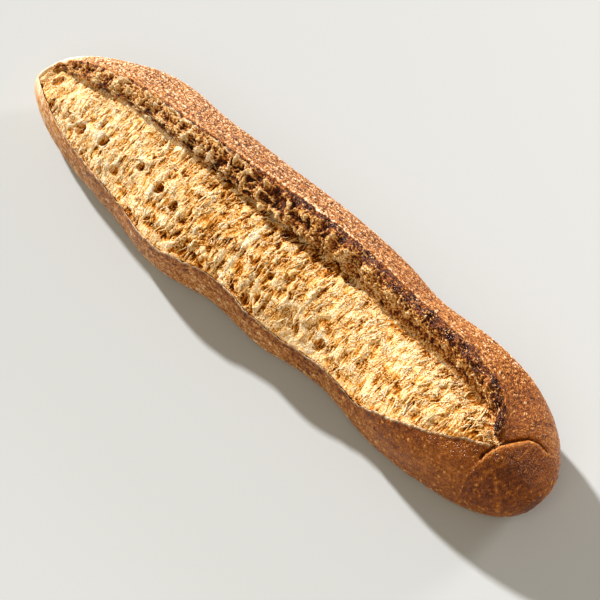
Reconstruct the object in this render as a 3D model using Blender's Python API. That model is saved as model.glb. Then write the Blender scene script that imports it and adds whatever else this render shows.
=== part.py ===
"""A wheat bread loaf: a long loaf with one slash along its top, torn open in the oven.

Metres, +Z up. +X runs along the loaf to its folded heel and +Y to the side of the ear, the raised lip of
crust that curls over the opened cut. The origin is on the surface that the loaf rests on, under its middle.
One skin makes the whole solid: a ball of quads whose rings become the loaf's cross-sections.
"""

import math

import bmesh
import bpy
import numpy as np
from mathutils import Vector, noise

MM = 0.001

# The roll of dough, measured from its crown line: its reach to the front (-Y) and to the back (+Y).
LENGTH = 400 * MM
FRONT_REACH = 37.5 * MM
BACK_REACH = 51 * MM
HULL_HEIGHT = 60 * MM
WIDEST_HEIGHT = 22 * MM
PRESSED_FLAT = 2 * MM
FRONT_ROUNDNESS = 2.2
BACK_ROUNDNESS = 2.5
SOLE_ROUNDNESS = 3.0

# How late the sides, the top and the sole turn in towards the heel, and towards the tip.
FRONT_BLUNTNESS = (6.0, 2.45)
BACK_BLUNTNESS = (5.0, 4.1)
TOP_BLUNTNESS = (4.5, 3.0)
SOLE_BLUNTNESS = (12.0, 10.0)

# Swells (+) and waists (-) of a side, in millimetres: place along the loaf, reach along it, and depth.
FRONT_SWELLS = ((-58, 27, 5.4), (-13, 22, -3.4), (65, 32, -7.4))
BACK_SWELLS = ((11, 46, 2.0), (91, 32, -5.8), (-134, 36, 6.0))

# The cut at places along the loaf (mm). Its front lip and the ear's crest are turned round the roll from
# the front (degrees). The crest's rise over the roll, the overhang, the groove's depth under the crest
# and the crumb's bulge are in millimetres.
CUT_START = -195 * MM
CUT_START_FADE = 6 * MM
CUT_END = 174 * MM
CUT_END_FADE = 8 * MM
CUT = (
    # x, lip, ear, rise, overhang, groove, bulge
    (-195, 52, 98, 0.0, 0, 5, -2),
    (-185, 44, 106, 1.5, 1, 8, -1),
    (-165, 30, 107, 3.0, 2, 10, 4),
    (-150, 22, 106, 4.0, 2, 11, 6),
    (-100, 14, 107, 4.0, 3, 12, 7),
    (-50, 14, 108, 5.0, 4, 14, 8),
    (0, 19, 110, 5.0, 7, 16, 9),
    (50, 10, 111, 5.0, 11, 17, 10),
    (95, 14, 111, 5.0, 11, 17, 10),
    (120, 32, 108, 5.0, 11, 17, 9),
    (145, 50, 104, 4.0, 9, 16, 7),
    (165, 70, 95, 2.0, 3, 9, 4),
    (173, 74, 94, 0.5, 1, 4, 1),
    (182, 58, 116, 0.0, 0, 2, 0),
    (200, 45, 130, 0.0, 0, 2, 0),
)
LIP_STEP = 1.5 * MM
EAR_RISE_REACH = 12 * MM
GROOVE_SHARE = 0.86

# Relief that the eye can count: lumps of the crumb, crags of the ear, waves of the crust.
CRUMB_LUMP = (2.2 * MM, 9 * MM, 17 * MM)
EAR_CRAG = (3.2 * MM, 8 * MM, 8 * MM)
EAR_CALM_SHARE = 0.5
CRUST_WAVE = (0.6 * MM, 26 * MM, 26 * MM)
LIP_MARGIN = 0.15

# Open pores of the crumb and hollows of the ear's torn face (mm): x, y, width, depth.
PORES = (
    (-141, -18, 8, 3.5),
    (-122, -16, 7, 3.5),
    (-105, -24, 6, 2.5),
    (-91, -15, 6, 2.5),
    (-72, -18, 7, 3.0),
    (-58, -21, 7, 3.0),
    (11, -31, 7, 2.5),
    (60, -23, 7, 2.5),
    (-180, -2, 10, 3.5),
    (-176, 9, 8, 3.0),
    (-112, 12, 9, 3.5),
    (-86, 16, 8, 3.0),
    (-53, 12, 8, 3.0),
    (-10, 15, 10, 4.0),
    (47, 14, 12, 2.5),
)

# The folded seam across the heel (mm), and its pinched end that runs down the front.
HEEL_SEAM = ((175, -26), (172, -19), (170, -12), (173, -5), (176, -1), (179, 6), (183, 13), (188, 16))
SEAM_DEPTH = 2 * MM
SEAM_WIDTH = 2.4 * MM

# Quads along the loaf, and round each cross-section, in the order of its six runs.
STATIONS = 108
COLUMNS = {"sole_front": 6, "side": 6, "crumb": 18, "ear": 8, "back": 10, "sole_back": 6}


def ease(start, end, value):
    """0 before start, 1 after end, and a smooth climb between."""
    share = min(1.0, max(0.0, (value - start) / (end - start)))
    return share * share * (3 - 2 * share)


def blend(first, second, share):
    return first + (second - first) * share


def swollen(x, swells):
    return sum(depth * math.exp(-(((x / MM - place) / reach) ** 2)) for place, reach, depth in swells) * MM


def end_rounding(x, bluntness):
    """1 along the middle and 0 at both tips."""
    heel, tip = bluntness
    share = x / (LENGTH / 2)
    return math.sqrt(max(0.0, 1 - abs(share) ** (heel if share > 0 else tip)))


class Section:
    """The cross-section at one place along the loaf."""

    def __init__(self, x):
        self.x = x
        self.front = (FRONT_REACH + swollen(x, FRONT_SWELLS)) * end_rounding(x, FRONT_BLUNTNESS)
        self.back = (BACK_REACH + swollen(x, BACK_SWELLS)) * end_rounding(x, BACK_BLUNTNESS)
        self.rise = (HULL_HEIGHT - WIDEST_HEIGHT) * end_rounding(x, TOP_BLUNTNESS)
        self.drop = (WIDEST_HEIGHT + PRESSED_FLAT) * end_rounding(x, SOLE_BLUNTNESS)
        places = [row[0] for row in CUT]
        lip, crest, *sizes = (np.interp(x / MM, places, [row[i] for row in CUT]) for i in range(1, 7))
        self.lip, self.crest = math.radians(lip), math.radians(crest)
        self.ear_rise, self.overhang, self.groove_depth, self.bulge = (size * MM for size in sizes)
        opening = ease(CUT_START, CUT_START + CUT_START_FADE, x)
        self.opened = opening * ease(CUT_END + CUT_END_FADE, CUT_END, x)

    def hull(self, angle):
        """(y, z) of the loaf's outside before the cut opened, for an array of angles."""
        across, up = -np.cos(angle), np.sin(angle)
        roundness = np.where(up <= 0, SOLE_ROUNDNESS, np.where(across < 0, FRONT_ROUNDNESS, BACK_ROUNDNESS))
        y = np.sign(across) * np.abs(across) ** (2 / roundness) * np.where(across < 0, self.front, self.back)
        z = np.sign(up) * np.abs(up) ** (2 / roundness) * np.where(up > 0, self.rise, self.drop)
        return np.stack([y, np.maximum(0.0, WIDEST_HEIGHT + z)], axis=-1)

    def ends_of_cut(self):
        """The front lip, the groove under the ear, and the ear's crest."""
        lip, crest = self.hull(np.array([self.lip, self.crest]))
        lip = lip - [0, LIP_STEP]
        crest = crest + [0, self.ear_rise * self.opened]
        groove = np.array([blend(lip[0], crest[0], GROOVE_SHARE), crest[1] - self.groove_depth])
        return lip, groove, crest

    def crumb(self, share):
        """The torn crumb, a low pillow from inside the front lip down to the groove under the ear."""
        lip, groove, crest = self.ends_of_cut()
        points = blend(lip, groove, share[:, None])
        points[:, 1] += self.bulge * np.sin(math.pi * share)
        return points

    def ear(self, share):
        """The torn face under the ear, up to its crest: a cubic curve that leans out over the groove."""
        lip, groove, crest = self.ends_of_cut()
        under = [crest[0] + self.overhang * 0.4, groove[1] + self.groove_depth * 0.12]
        edge = [crest[0] - self.overhang, crest[1] - self.groove_depth * 0.12]
        t = share[:, None]
        left = 1 - t
        return left**3 * groove + 3 * left**2 * t * under + 3 * left * t**2 * edge + t**3 * crest

    def ring(self):
        """(y, z) of every column, from under the middle round by the front."""
        share = {run: np.arange(count) / count for run, count in COLUMNS.items()}
        quarter = math.pi / 2
        corner = math.radians(20)
        opened = np.concatenate([self.crumb(share["crumb"]), self.ear(share["ear"])])
        closed_share = np.concatenate([0.8 * share["crumb"], 0.8 + 0.2 * share["ear"]])
        closed = self.hull(blend(self.lip, self.crest, closed_share))
        back = self.hull(blend(self.crest, math.pi + corner, share["back"]))
        from_crest = (back[:, 0] - back[0, 0]) / EAR_RISE_REACH
        over = back[:, 1] > WIDEST_HEIGHT
        back[:, 1] += np.where(over, self.ear_rise * self.opened * np.exp(-(from_crest**2)), 0)
        return np.concatenate(
            [
                self.hull(blend(-quarter, -corner, share["sole_front"])),
                self.hull(blend(-corner, self.lip, share["side"])),
                blend(closed, opened, self.opened),
                back,
                self.hull(blend(math.pi + corner, math.pi + quarter, share["sole_back"])),
            ]
        )


def lumps(place, relief, seed):
    """Smooth lumps of a relief: its height, and its sizes along and across the loaf."""
    height, along, across = relief
    x, y, z = place
    return height * noise.noise(Vector((x / along, y / across, z / across + seed)))


def distance_to_seam(x, y):
    """How far (mm) a place is from the heel's seam, seen from above."""
    nearest = 1e9
    for (x0, y0), (x1, y1) in zip(HEEL_SEAM, HEEL_SEAM[1:]):
        run = Vector((x1 - x0, y1 - y0))
        to_place = Vector((x - x0, y - y0))
        share = min(1.0, max(0.0, to_place.dot(run) / run.length_squared))
        nearest = min(nearest, (to_place - run * share).length)
    return nearest


def relief_height(place, run, share, opened):
    """How far the surface stands out (+) or lies in (-) at a place of the smooth form."""
    x, y, z = place.x / MM, place.y / MM, place.z / MM
    height = lumps(place, CRUST_WAVE, 3.7)
    if run == "crumb":
        torn = opened * ease(0.0, LIP_MARGIN, share)
        height += torn * (lumps(place, CRUMB_LUMP, 11.3) + 0.5 * lumps(place * 2.2, CRUMB_LUMP, 5.1))
    if run == "ear":
        torn = opened * blend(1.0, EAR_CALM_SHARE, ease(-20, 60, x))
        height += torn * (lumps(place, EAR_CRAG, 7.9) + 0.4 * lumps(place * 2.1, EAR_CRAG, 1.9))
    if run in ("crumb", "ear"):
        for pore_x, pore_y, width, depth in PORES:
            apart = math.hypot(x - pore_x, (y - pore_y) * 1.2) / (width / 2)
            height -= opened * depth * MM * math.exp(-(apart**2))
    if x > 150 and z > 20:
        height -= SEAM_DEPTH * math.exp(-((distance_to_seam(x, y) * MM / SEAM_WIDTH) ** 2))
    return height


def station(step):
    """The place along the loaf of ring number step: even in the middle, and closer at both ends."""
    even = 2 * step / STATIONS - 1
    rounded = -math.cos(math.pi * step / STATIONS)
    return LENGTH / 2 * blend(even, rounded, 0.55)


def build_loaf():
    columns = sum(COLUMNS.values())
    runs = [(run, place / count) for run, count in COLUMNS.items() for place in range(count)]
    bm = bmesh.new()
    bmesh.ops.create_uvsphere(bm, u_segments=columns, v_segments=STATIONS, radius=1.0)
    sections = {step: Section(station(step)) for step in range(1, STATIONS)}
    rings = {step: section.ring() for step, section in sections.items()}
    textured = []
    for vert in bm.verts:
        step = round(math.acos(max(-1.0, min(1.0, -vert.co.z))) / math.pi * STATIONS)
        if step in (0, STATIONS):
            vert.co = (station(step), 0, WIDEST_HEIGHT)
            continue
        turn = math.atan2(vert.co.y, vert.co.x) - math.pi / 2
        column = round(turn / math.tau * columns) % columns
        vert.co = (station(step), *rings[step][column])
        textured.append((vert, *runs[column], sections[step].opened))
    bmesh.ops.recalc_face_normals(bm, faces=bm.faces)
    bm.normal_update()
    moves = [(vert, vert.normal * relief_height(vert.co, *where)) for vert, *where in textured]
    for vert, move in moves:
        if vert.co.z > 0.3 * MM:
            vert.co += move
            vert.co.z = max(0.0, vert.co.z)
    middle = [(min(v.co[i] for v in bm.verts) + max(v.co[i] for v in bm.verts)) / 2 for i in (0, 1)]
    bmesh.ops.translate(bm, verts=bm.verts, vec=(-middle[0], -middle[1], 0))
    mesh = bpy.data.meshes.new("loaf")
    bm.to_mesh(mesh)
    bm.free()
    mesh.shade_smooth()
    loaf = bpy.data.objects.new("loaf", mesh)
    bpy.context.scene.collection.objects.link(loaf)
    return loaf


def crust_material():
    crust = bpy.data.materials.new("bread_crust")
    crust.use_nodes = True
    shader = crust.node_tree.nodes["Principled BSDF"]
    shader.inputs["Base Color"].default_value = (0.50, 0.25, 0.09, 1)
    shader.inputs["Roughness"].default_value = 0.7
    return crust


def clear_scene():
    for thing in list(bpy.data.objects):
        bpy.data.objects.remove(thing)


clear_scene()
loaf = build_loaf()
loaf.data.materials.append(crust_material())
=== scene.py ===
import math

import bmesh
import bpy
import numpy as np
from mathutils import Matrix, Vector, noise


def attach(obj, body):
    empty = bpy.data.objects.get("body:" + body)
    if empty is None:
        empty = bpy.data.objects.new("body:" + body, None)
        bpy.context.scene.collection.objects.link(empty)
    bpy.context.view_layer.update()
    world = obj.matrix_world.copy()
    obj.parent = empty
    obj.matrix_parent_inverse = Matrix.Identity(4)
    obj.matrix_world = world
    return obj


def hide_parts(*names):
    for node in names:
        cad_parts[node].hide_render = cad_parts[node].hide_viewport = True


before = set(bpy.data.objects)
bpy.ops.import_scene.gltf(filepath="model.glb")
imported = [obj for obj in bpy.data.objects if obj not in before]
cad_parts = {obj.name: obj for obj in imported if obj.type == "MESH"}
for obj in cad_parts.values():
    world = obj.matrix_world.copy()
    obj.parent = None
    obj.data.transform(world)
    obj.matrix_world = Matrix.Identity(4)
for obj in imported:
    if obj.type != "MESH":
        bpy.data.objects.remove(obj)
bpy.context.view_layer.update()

# ======================================================================================================
# Crust. The baked skin of a long roll of wheat dough, browned in a hot oven: smooth and satin on the front
# and the heel, floury and finely cracked on the back. One closed skin. Under the torn cut it sinks to a
# bed that the crumb and the ear lie in.
# ======================================================================================================
MM = 0.001

# The roll, measured from its crown line: its reach to the front (-Y) and to the back (+Y).
LENGTH = 400 * MM
FRONT_REACH = 37.5 * MM
BACK_REACH = 51 * MM
HULL_HEIGHT = 60 * MM
WIDEST_HEIGHT = 22 * MM
PRESSED_FLAT = 2 * MM
CROWN_LINE = -5.6013 * MM
FRONT_ROUNDNESS = 2.2
BACK_ROUNDNESS = 2.5
SOLE_ROUNDNESS = 3.0

# How late the sides, the top and the sole turn in towards the heel, and towards the tip.
FRONT_BLUNTNESS = (6.0, 2.45)
BACK_BLUNTNESS = (5.0, 4.1)
TOP_BLUNTNESS = (4.5, 3.0)
SOLE_BLUNTNESS = (12.0, 10.0)

# Swells (+) and waists (-) of a side, in millimetres: place along the loaf, reach along it, and depth.
FRONT_SWELLS = ((-58, 27, 5.4), (-13, 22, -3.4), (65, 32, -7.4))
BACK_SWELLS = ((11, 46, 2.0), (91, 32, -5.8), (-134, 36, 6.0))

# The cut at places along the loaf (mm). Its front lip and the ear's crest are turned round the roll from the
# front (degrees). The ear's edge reaches forward from its crest and drops below it. The groove is at a
# share of the way from the lip to the crest.
CUT_START = -195
CUT_START_FADE = 6
CUT_END = 169
CUT_END_FADE = 6
CUT = np.array([
    # x, lip, crest, rise, reach, drop, groove share, groove depth, bulge
    (-195, 52, 98, 0.0, 3.0, 2.5, 0.80, 5, -2),
    (-185, 44, 106, 1.0, 6.0, 4.0, 0.77, 6, -1),
    (-165, 30, 107, 1.5, 12.0, 4.0, 0.77, 5.5, 2),
    (-150, 22, 106, 1.5, 13.0, 4.2, 0.78, 5.5, 4),
    (-100, 14, 107, 1.8, 13.0, 4.6, 0.80, 6, 5),
    (-50, 14, 108, 3.5, 13.0, 7.0, 0.82, 10, 7),
    (0, 19, 110, 5.0, 12.0, 7.5, 0.84, 15, 8.5),
    (50, 10, 111, 5.0, 8.0, 5.5, 0.86, 17, 10),
    (95, 14, 111, 5.0, 6.0, 4.5, 0.86, 17, 10),
    (120, 32, 108, 5.0, 5.5, 4.5, 0.86, 17, 9),
    (145, 50, 104, 4.0, 5.0, 4.0, 0.86, 16, 7),
    (158, 63, 98, 2.6, 3.0, 3.0, 0.86, 12, 5),
    (165, 70, 90, 1.6, 2.0, 2.0, 0.82, 8, 3),
    (170, 75, 85, 0.5, 1.0, 1.0, 0.80, 4, 1),
    (176, 68, 95, 0.0, 0.5, 0.5, 0.80, 2, 0),
    (184, 58, 116, 0.0, 0.5, 0.5, 0.80, 2, 0),
    (200, 45, 130, 0.0, 0.5, 0.5, 0.86, 2, 0),
])
LIP_STEP = 1.5 * MM
EAR_RISE_REACH = 12 * MM
EAR_EDGE_SHARE = 0.4
SOLE_CORNER = math.radians(20)

# The folded seam across the heel, and the two creases where it was pinched (mm), seen from above.
HEEL_SEAM = (
    (169.5, -17), (169.5, -13.8), (170.5, -9.6), (171.5, -5.5), (174, -1),
    (176.5, 4), (179, 9), (183, 12), (188, 13),
)
HEEL_PINCHES = (((177.5, -14), (175.5, -21), (175, -26)), ((179.5, -17), (184, -19.5), (188, -21)))

# Values that change along the loaf: a place (mm) and the value there. How brown the front and the back are
# (0 is pale dough, 1 is burnt), how far the ear's edge wraps over its crest (mm), and how far behind the
# crest the crust is burnt (mm).
FRONT_BROWN = ((-200, 0.21), (-150, 0.40), (-60, 0.43), (40, 0.46), (120, 0.55), (170, 0.60), (200, 0.62))
BACK_BROWN = ((-200, 0.30), (-150, 0.47), (-60, 0.52), (60, 0.53), (130, 0.49), (170, 0.56), (200, 0.59))
EAR_WRAP = ((-190, 1.4), (-120, 1.6), (-60, 2.2), (0, 3.2), (150, 3.8), (172, 2.5))
BURNT_REACH = ((-110, -1.5), (-60, 0.2), (0, 1.6), (50, 3.6), (150, 5.2), (172, 5.6))

# The solid's slow waves (mm): their height, and their sizes along and across. Then how deep the bed lies
# under the rim, the crumb and the ear, and how far back it is set under the ear.
SOLID_WAVE = (0.6, 26, 26)
SOLID_WAVE_SEED = 3.7
RIM_BED_DEPTH = 2.4
CRUMB_BED_DEPTH = 6.5
EAR_BED_DEPTH = 5.5
EAR_BED_SETBACK = 4.0
CRUST_ROWS = 570


def blend(first, second, share):
    return first + (second - first) * share


def ease(start, end, value):
    """0 before start, 1 after end, and a smooth climb between."""
    share = np.clip((value - start) / (end - start), 0, 1)
    return share * share * (3 - 2 * share)


def hills(u, v, seed):
    """Smooth random hills and hollows, about -1 to 1 high, one for each unit of u and v."""
    turn = np.random.default_rng(seed).uniform(0, math.tau, (256, 256))
    i, j = np.floor(u).astype(int), np.floor(v).astype(int)
    ease_u, ease_v = ease(0, 1, u - i), ease(0, 1, v - j)
    total = 0
    for a in (0, 1):
        for b in (0, 1):
            slope = turn[(i + a) % 256, (j + b) % 256]
            rise = np.cos(slope) * (u - i - a) + np.sin(slope) * (v - j - b)
            total = total + rise * (ease_u if a else 1 - ease_u) * (ease_v if b else 1 - ease_v)
    return total * 1.6


def foam(u, v, seed):
    """A foam, a cell to each unit of u and v: the way from the nearest wall, and the cell's number."""
    random = np.random.default_rng(seed)
    jitter_u, jitter_v, number = random.uniform(0, 1, (3, 256, 256))
    i, j = np.floor(u).astype(int), np.floor(v).astype(int)
    nearest, second, cell = np.full(u.shape, 9.0), np.full(u.shape, 9.0), np.zeros(u.shape)
    for a in (-1, 0, 1):
        for b in (-1, 0, 1):
            key = ((i + a) % 256, (j + b) % 256)
            away = np.hypot(i + a + jitter_u[key] - u, j + b + jitter_v[key] - v)
            second = np.minimum(second, np.maximum(nearest, away))
            cell = np.where(away < nearest, number[key], cell)
            nearest = np.minimum(nearest, away)
    return second - nearest, cell


def softened(values, reach):
    """The mean of each value and its neighbours, up to reach steps away both ways."""
    for axis in (0, 1):
        values = sum(np.roll(values, step, axis=axis) for step in range(-reach, reach + 1)) / (2 * reach + 1)
    return values


def value_along(x, places_and_values):
    """A value that changes along the loaf, at the places x (mm)."""
    return np.interp(x, *zip(*places_and_values))


def swollen(x, swells):
    return sum(depth * np.exp(-(((x - place) / reach) ** 2)) for place, reach, depth in swells) * MM


def end_rounding(x, bluntness):
    """1 along the middle and 0 at both tips."""
    share = x * MM / (LENGTH / 2)
    power = np.where(share > 0, bluntness[0], bluntness[1])
    return np.sqrt(np.maximum(0.0, 1 - np.abs(share) ** power))


class Sections:
    """The loaf's cross-sections at an array of places along it (mm), one row for each."""

    def __init__(self, places, ragged=0.0):
        self.x = x = places[:, None]
        self.front = (FRONT_REACH + swollen(x, FRONT_SWELLS)) * end_rounding(x, FRONT_BLUNTNESS)
        self.back = (BACK_REACH + swollen(x, BACK_SWELLS)) * end_rounding(x, BACK_BLUNTNESS)
        self.rise = (HULL_HEIGHT - WIDEST_HEIGHT) * end_rounding(x, TOP_BLUNTNESS)
        self.drop = (WIDEST_HEIGHT + PRESSED_FLAT) * end_rounding(x, SOLE_BLUNTNESS)
        lip, crest, rise, reach, drop, groove_share, groove_depth, bulge = (
            np.interp(x, CUT[:, 0], CUT[:, i]) for i in range(1, 9)
        )
        self.opened = ease(CUT_START, CUT_START + CUT_START_FADE, x)
        self.opened = self.opened * ease(CUT_END + CUT_END_FADE, CUT_END, x)
        self.seen = ease(CUT_START, CUT_START + 4, x) * ease(CUT_END + 3, CUT_END - 2, x)
        tear = hills(x / 9, x * 0, 31) + 0.6 * hills(x / 3.5, x * 0, 32) + 0.4 * hills(x / 1.6, x * 0, 35)
        self.lip = np.radians(lip + ragged * tear * self.opened)
        self.crest, self.ear_rise = np.radians(crest), rise * MM
        self.reach, self.ear_drop, self.groove_share = reach * MM, drop * MM, groove_share
        self.groove_depth, self.bulge = groove_depth * MM, bulge * MM

    def hull(self, angle):
        """(y, z) of the loaf's outside before the cut opened, for angles round the roll from the front."""
        across, up = -np.cos(angle), np.sin(angle)
        roundness = np.where(up <= 0, SOLE_ROUNDNESS, np.where(across < 0, FRONT_ROUNDNESS, BACK_ROUNDNESS))
        y = np.sign(across) * np.abs(across) ** (2 / roundness) * np.where(across < 0, self.front, self.back)
        z = np.sign(up) * np.abs(up) ** (2 / roundness) * np.where(up > 0, self.rise, self.drop)
        return np.stack([y, np.maximum(0.0, WIDEST_HEIGHT + z)], axis=-1)

    def ends_of_cut(self):
        """The front lip, the groove under the ear, and the ear's crest."""
        lip, crest = self.hull(self.lip), self.hull(self.crest)
        lip[..., 1] -= LIP_STEP
        crest[..., 1] += self.ear_rise * self.opened
        groove_y = blend(lip[..., 0], crest[..., 0], self.groove_share)
        return lip, np.stack([groove_y, crest[..., 1] - self.groove_depth], axis=-1), crest

    def closed_cut(self, share):
        return self.hull(blend(self.lip, self.crest, share))

    def crumb(self, share):
        """The torn crumb, a low pillow from inside the front lip down to the groove under the ear."""
        lip, groove, _ = self.ends_of_cut()
        points = blend(lip, groove, share[None, :, None])
        points[..., 1] += self.bulge * np.sin(math.pi * share)
        return blend(self.closed_cut(0.8 * share), points, self.opened[..., None])

    def ear(self, share):
        """The ear's torn side: up from the groove to its edge, then over its face to the crest."""
        _, groove, crest = self.ends_of_cut()
        edge = crest - np.stack([self.reach, self.ear_drop], axis=-1)
        inside = np.maximum(groove[..., 0], edge[..., 0]) + 0.2 * self.reach
        under = np.stack([inside, blend(groove[..., 1], edge[..., 1], 0.5)], axis=-1)
        over = crest - np.stack([0.7 * self.reach, 0.1 * self.ear_drop], axis=-1)
        t = np.clip(share / EAR_EDGE_SHARE, 0, 1)[None, :, None]
        below = (1 - t) ** 2 * groove + 2 * (1 - t) * t * under + t**2 * edge
        t = np.clip((share - EAR_EDGE_SHARE) / (1 - EAR_EDGE_SHARE), 0, 1)[None, :, None]
        above = (1 - t) ** 2 * edge + 2 * (1 - t) * t * over + t**2 * crest
        points = np.where(share[None, :, None] < EAR_EDGE_SHARE, below, above)
        return blend(self.closed_cut(0.8 + 0.2 * share), points, self.opened[..., None])

    def behind(self, angle):
        """The outside from the crest on to the back, raised where the ear lifts it."""
        crest_y = self.hull(self.crest)[..., 0]
        points = self.hull(angle)
        from_crest = (points[..., 0] - crest_y) / EAR_RISE_REACH
        lift = self.ear_rise * self.opened * np.exp(-(from_crest**2))
        points[..., 1] += np.where(points[..., 1] > WIDEST_HEIGHT, lift, 0)
        return points

    def crest_speed(self):
        """How far the outside goes in a radian round the roll, at the crest."""
        step = 0.02
        return np.linalg.norm(self.hull(self.crest + step) - self.hull(self.crest), axis=-1) / step

    def skin(self, parts):
        """Points (x, y, z) of all columns, from a list of (y, z) arrays."""
        sides = np.concatenate(parts, axis=1)
        along = np.broadcast_to(self.x[..., None] * MM, sides.shape[:2] + (1,))
        return np.concatenate([along, sides], axis=2)


def outward(points, closed=False):
    """The direction out of a grid of points, for each of them: a ring all round, or an open upper side."""
    along = np.gradient(points, axis=0)
    across = np.gradient(points, axis=1)
    if closed:
        across = np.roll(points, -1, axis=1) - np.roll(points, 1, axis=1)
    normal = np.cross(along, across)
    normal /= np.maximum(1e-12, np.linalg.norm(normal, axis=2, keepdims=True))
    out = points - points.mean(axis=1, keepdims=True) if closed else np.array([0, 0, 1.0])
    return normal if (normal * out).sum() > 0 else -normal


def with_underside(upper, normals, relief, columns, depth):
    """A closed ring of points: an upper side with its relief (mm), and an underside this depth below."""
    shaped = upper + relief[..., None] * MM * normals
    return np.concatenate([shaped, (upper - depth * MM * normals)[:, columns]], axis=1)


def widened(values, columns):
    """Marks of an upper side, repeated for the columns of its underside."""
    return np.concatenate([values, values[:, columns]], axis=1)


def lumps(points, relief, seed, scale=1.0):
    """The solid's own lumps (mm): their height, and their sizes along and across the loaf."""
    height, along, across = relief
    flat = points.reshape(-1, 3) * scale / MM / (along, across, across) + (0, 0, seed)
    return height * np.array([noise.noise(Vector(place)) for place in flat]).reshape(points.shape[:2])


def way_round(points):
    """How far each point is round its section from the first column (mm)."""
    steps = np.linalg.norm(np.diff(points[..., 1:], axis=1), axis=2)
    return np.concatenate([np.zeros((len(points), 1)), np.cumsum(steps, axis=1)], axis=1) / MM


def new_object(name, data):
    """An object of this data, linked to the scene."""
    thing = bpy.data.objects.new(name, data)
    bpy.context.scene.collection.objects.link(thing)
    return thing


def ball_of(name, columns, rows):
    """The mesh of a ball, and for each of its vertices its row and its turn round the axis."""
    bm = bmesh.new()
    bmesh.ops.create_uvsphere(bm, u_segments=columns, v_segments=rows, radius=1.0)
    mesh = bpy.data.meshes.new(name)
    bm.to_mesh(mesh)
    bm.free()
    ball = np.empty(len(mesh.vertices) * 3)
    mesh.vertices.foreach_get("co", ball)
    x, y, z = ball.reshape(-1, 3).T
    row = np.rint(np.arctan2(np.hypot(x, y), -z) / math.pi * rows).astype(int)
    return mesh, row, np.arctan2(y, x)


def finished_piece(name, mesh, place, marks):
    """A piece whose vertices are at a place each, with its faces turned out and its marks as attributes."""
    mesh.vertices.foreach_set("co", (place + (0, CROWN_LINE, 0)).ravel())
    bm = bmesh.new()
    bm.from_mesh(mesh)
    bmesh.ops.recalc_face_normals(bm, faces=bm.faces)
    bm.to_mesh(mesh)
    bm.free()
    for mark, values in marks.items():
        layer = mesh.attributes.new(mark, "FLOAT", "POINT")
        layer.data.foreach_set("value", values.astype(np.float32))
    mesh.shade_smooth()
    return new_object(name, mesh)


def closed_skin(name, points, poles, marks):
    """A closed ball of quads with a grid of points for its rings, and its marks."""
    rows, columns = points.shape[0] + 1, points.shape[1]
    mesh, row, turn = ball_of(name, columns, rows)
    column = np.rint((turn - math.pi / 2) / math.tau * columns).astype(int) % columns
    inner = np.clip(row - 1, 0, rows - 2)
    place = points[inner, column]
    place[row == 0], place[row == rows] = poles
    return finished_piece(name, mesh, place, {mark: values[inner, column] for mark, values in marks.items()})


def way_from_line(x, y, line):
    """How far (mm) each place is from a line of points, and on which side: + on the heel's."""
    nearest, side = np.full(x.shape, 1e9), np.zeros(x.shape)
    for (x0, y0), (x1, y1) in zip(line, line[1:]):
        run_x, run_y = x1 - x0, y1 - y0
        share = np.clip(((x - x0) * run_x + (y - y0) * run_y) / (run_x**2 + run_y**2), 0, 1)
        away = np.hypot(x - x0 - share * run_x, y - y0 - share * run_y)
        turned = (x - x0) * run_y - (y - y0) * run_x
        side = np.where(away < nearest, np.sign(turned), side)
        nearest = np.minimum(nearest, away)
    return nearest, side


def ear_wrap(x):
    """How far the ear's edge reaches over the crest (mm)."""
    return value_along(x, EAR_WRAP)


def burnt_behind(x, around, from_crest):
    """How much the crust behind the crest burnt: a thin line by the tip and a wide band by the heel."""
    reach = value_along(x, BURNT_REACH)
    reach = reach + (0.6 + 0.3 * reach) * hills(x / 4, around / 4, 54)
    patchy = 0.62 + 0.75 * hills(x / 8, around / 8, 58) + 0.35 * hills(x / 1.6, around / 1.6, 59)
    return np.clip(patchy, 0, 1) * ease(reach + 2.0, reach - 1.0, from_crest) * ease(-174, -160, x)


steps = np.arange(1, CRUST_ROWS) / CRUST_ROWS
crust_places = LENGTH / 2 / MM * blend(2 * steps - 1, -np.cos(math.pi * steps), 0.35)
loaf = Sections(crust_places, ragged=1.7)
quarter = math.pi / 2
front_angles = blend(-quarter, -SOLE_CORNER, np.linspace(0, 1, 8, endpoint=False))
side_shares = np.linspace(0, 1, 52)
bed_shares = np.linspace(0.03, 0.97, 11)
bed_ear_shares = np.linspace(0.05, 0.95, 7)
back_shares = np.linspace(0, 1, 86) ** 1.08
sole_angles = blend(math.pi + SOLE_CORNER, math.pi + quarter, np.linspace(0.1, 1, 8, endpoint=False))
crust_points = loaf.skin([
    loaf.hull(front_angles[None, :]),
    loaf.hull(blend(-SOLE_CORNER, loaf.lip, side_shares)),
    loaf.crumb(bed_shares),
    loaf.ear(bed_ear_shares),
    loaf.behind(blend(loaf.crest, math.pi + SOLE_CORNER, back_shares)),
    loaf.hull(sole_angles[None, :]),
])
parts_across = (front_angles, side_shares, bed_shares, bed_ear_shares, back_shares, sole_angles)
first = np.cumsum([0] + [len(part) for part in parts_across])
is_side, is_bed = slice(first[1], first[2]), slice(first[2], first[4])
is_back = slice(first[4], first[5])

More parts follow.
